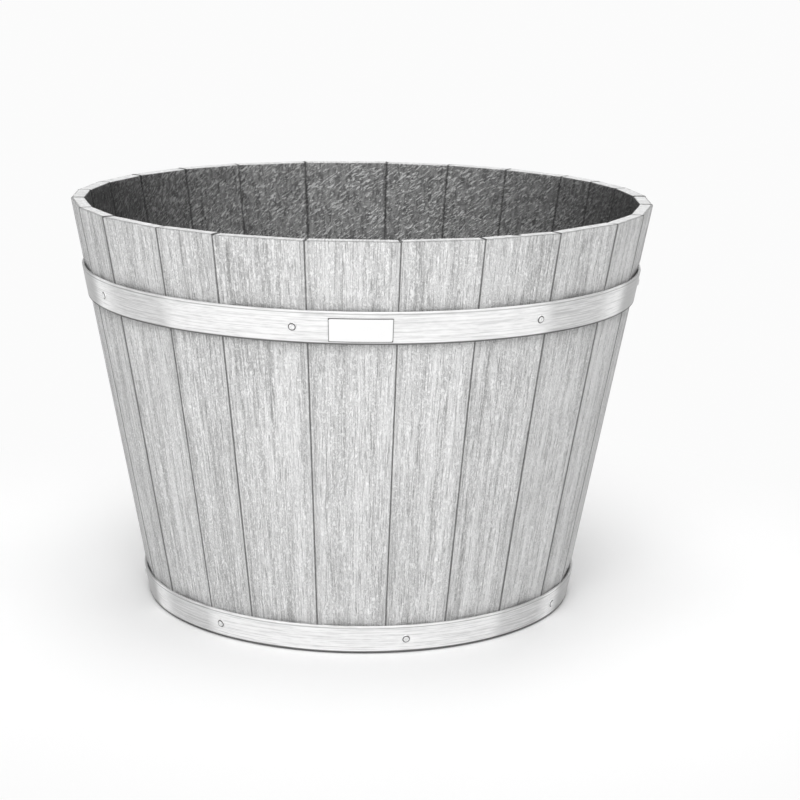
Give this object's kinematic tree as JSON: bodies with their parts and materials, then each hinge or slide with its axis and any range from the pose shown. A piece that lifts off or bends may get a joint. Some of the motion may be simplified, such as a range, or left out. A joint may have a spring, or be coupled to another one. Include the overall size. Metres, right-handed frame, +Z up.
{
  "type": "barrel planter",
  "caption": "Round wooden planter tub: tapered mitred staves held in a flaring ring by riveted metal hoops, with a boarded floor set in a groove and drain holes.",
  "frame": {"origin": "middle of the base, on the ground", "axes": "+Z up along the tub's axis; the label plate's side, the front, faces -Y"},
  "size_m": [0.2989, 0.2979, 0.21],
  "materials": {
    "stave_wood": "weathered silver-grey grain outside and on the rim, charred inside",
    "head_wood": "charred, matt",
    "dowel_wood": "plain, hidden between the boards",
    "hoop_metal": "pale satin sheet metal with a fine lengthwise brushing",
    "fastener_metal": "satin, hammered heads",
    "label_face": "plain white, blank"
  },
  "bodies": {
    "root": {"stave_01": "stave_wood", "stave_02": "stave_wood", "stave_03": "stave_wood", "stave_04": "stave_wood", "stave_05": "stave_wood", "stave_06": "stave_wood", "stave_07": "stave_wood", "stave_08": "stave_wood", "stave_09": "stave_wood", "stave_10": "stave_wood", "stave_11": "stave_wood", "stave_12": "stave_wood", "stave_13": "stave_wood", "stave_14": "stave_wood", "stave_15": "stave_wood", "stave_16": "stave_wood", "stave_17": "stave_wood", "stave_18": "stave_wood", "stave_19": "stave_wood", "stave_20": "stave_wood", "stave_21": "stave_wood", "stave_22": "stave_wood", "stave_23": "stave_wood", "stave_24": "stave_wood", "stave_25": "stave_wood", "head_board_1": "head_wood", "head_board_2": "head_wood", "head_board_3": "head_wood", "head_board_4": "head_wood", "head_board_5": "head_wood", "head_dowels": "dowel_wood", "upper_hoop": "hoop_metal", "lower_hoop": "hoop_metal", "upper_hoop_nails": "fastener_metal", "lower_hoop_nails": "fastener_metal", "upper_hoop_rivets": "fastener_metal", "lower_hoop_rivets": "fastener_metal", "label_plate": "label_face"}
  },
  "joints": []
}
